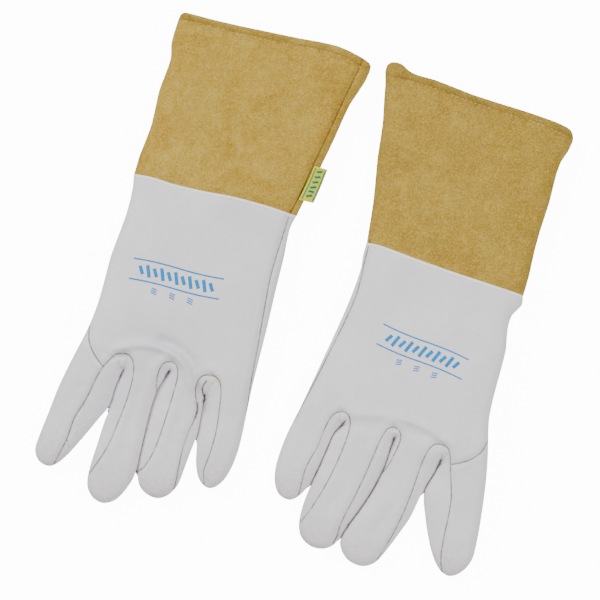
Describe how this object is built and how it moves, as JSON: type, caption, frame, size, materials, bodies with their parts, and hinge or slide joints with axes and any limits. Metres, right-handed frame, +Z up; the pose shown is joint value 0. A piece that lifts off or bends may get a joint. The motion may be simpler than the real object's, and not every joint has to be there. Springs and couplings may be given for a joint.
{
  "type": "welding gloves",
  "caption": "Gauntlet welding gloves with grain leather hands, split leather cuffs and folded-under thumbs, lying side by side.",
  "frame": {"origin": "middle of the pair's footprint, on the surface they lie on", "axes": "+X from the left glove to the right glove, +Y from the fingertips to the cuffs, +Z up out of the backs of the hands"},
  "size_m": [0.3164, 0.3536, 0.024],
  "materials": {
    "grain": "pearl grey smooth grain leather",
    "suede": "golden tan split leather",
    "label": "woven yellow tape"
  },
  "bodies": {
    "left_hand": {"left_back_panel": "grain", "left_palm_panel": "grain", "left_index_knuckle": "grain", "left_thumb_base": "grain", "left_wrist_welt": "grain", "left_fork_index_middle": "grain", "left_fork_middle_ring": "grain", "left_fork_ring_little": "grain"},
    "left_cuff": {"left_cuff_back": "suede", "left_cuff_palm": "suede", "left_cuff_hem": "suede", "left_label": "label"},
    "left_index_finger": {"left_index_wrap": "grain", "left_index_gusset": "grain"},
    "left_middle_finger": {"left_middle_back": "grain", "left_middle_front": "grain", "left_middle_index_gusset": "grain", "left_middle_ring_gusset": "grain"},
    "left_ring_finger": {"left_ring_back": "grain", "left_ring_front": "grain", "left_ring_middle_gusset": "grain", "left_ring_little_gusset": "grain"},
    "left_little_finger": {"left_little_back": "grain", "left_little_front": "grain", "left_little_gusset": "grain"},
    "left_thumb": {"left_thumb_front": "grain", "left_thumb_back": "grain"},
    "right_hand": {"right_back_panel": "grain", "right_palm_panel": "grain", "right_index_knuckle": "grain", "right_thumb_base": "grain", "right_wrist_welt": "grain", "right_fork_index_middle": "grain", "right_fork_middle_ring": "grain", "right_fork_ring_little": "grain"},
    "right_cuff": {"right_cuff_back": "suede", "right_cuff_palm": "suede", "right_cuff_hem": "suede"},
    "right_index_finger": {"right_index_wrap": "grain", "right_index_gusset": "grain"},
    "right_middle_finger": {"right_middle_back": "grain", "right_middle_front": "grain", "right_middle_index_gusset": "grain", "right_middle_ring_gusset": "grain"},
    "right_ring_finger": {"right_ring_back": "grain", "right_ring_front": "grain", "right_ring_middle_gusset": "grain", "right_ring_little_gusset": "grain"},
    "right_little_finger": {"right_little_back": "grain", "right_little_front": "grain", "right_little_gusset": "grain"},
    "right_thumb": {"right_thumb_front": "grain", "right_thumb_back": "grain"}
  },
  "joints": [
    {"name": "left_cuff_fold", "type": "hinge", "parent": "left_hand", "child": "left_cuff", "pos_m": [-0.09059, 0.0525, 0.0212], "axis": [0.9976, 0.0698, 0], "range_deg": [0, 45]},
    {"name": "left_index_bend", "type": "hinge", "parent": "left_hand", "child": "left_index_finger", "pos_m": [-0.13388, -0.09823, 0.02138], "axis": [-0.9833, 0.1822, 0], "range_deg": [0, 55]},
    {"name": "left_middle_bend", "type": "hinge", "parent": "left_hand", "child": "left_middle_finger", "pos_m": [-0.10049, -0.09614, 0.02138], "axis": [-0.9998, -0.0175, 0], "range_deg": [0, 60]},
    {"name": "left_ring_bend", "type": "hinge", "parent": "left_hand", "child": "left_ring_finger", "pos_m": [-0.06904, -0.09395, 0.02138], "axis": [-0.999, -0.0436, 0], "range_deg": [0, 60]},
    {"name": "left_little_bend", "type": "hinge", "parent": "left_hand", "child": "left_little_finger", "pos_m": [-0.03758, -0.09176, 0.02138], "axis": [-0.9962, -0.0872, 0], "range_deg": [0, 60]},
    {"name": "left_thumb_swing", "type": "hinge", "parent": "left_hand", "child": "left_thumb", "pos_m": [-0.1245, -0.00731, 0.00465], "axis": [0, 0, -1], "range_deg": [0, 50]},
    {"name": "right_glove_lift", "type": "slide", "parent": "left_hand", "child": "right_hand", "axis": [0, 0, 1], "range_m": [0, 0.12]},
    {"name": "right_cuff_fold", "type": "hinge", "parent": "right_hand", "child": "right_cuff", "pos_m": [0.07753, 0.0525, 0.0212], "axis": [0.9997, -0.0262, 0], "range_deg": [0, 45]},
    {"name": "right_index_bend", "type": "hinge", "parent": "right_hand", "child": "right_index_finger", "pos_m": [0.13273, -0.09627, 0.02138], "axis": [-0.9681, -0.2504, 0], "range_deg": [0, 55]},
    {"name": "right_middle_bend", "type": "hinge", "parent": "right_hand", "child": "right_middle_finger", "pos_m": [0.09383, -0.09552, 0.02138], "axis": [-0.9903, 0.1392, 0], "range_deg": [0, 60]},
    {"name": "right_ring_bend", "type": "hinge", "parent": "right_hand", "child": "right_ring_finger", "pos_m": [0.05984, -0.09466, 0.02138], "axis": [-0.9936, 0.1132, 0], "range_deg": [0, 60]},
    {"name": "right_little_bend", "type": "hinge", "parent": "right_hand", "child": "right_little_finger", "pos_m": [0.02554, -0.09374, 0.02138], "axis": [-0.9914, 0.1305, 0], "range_deg": [0, 60]},
    {"name": "right_thumb_swing", "type": "hinge", "parent": "right_hand", "child": "right_thumb", "pos_m": [0.11402, -0.00578, 0.00465], "axis": [0, 0, 1], "range_deg": [0, 50]}
  ]
}
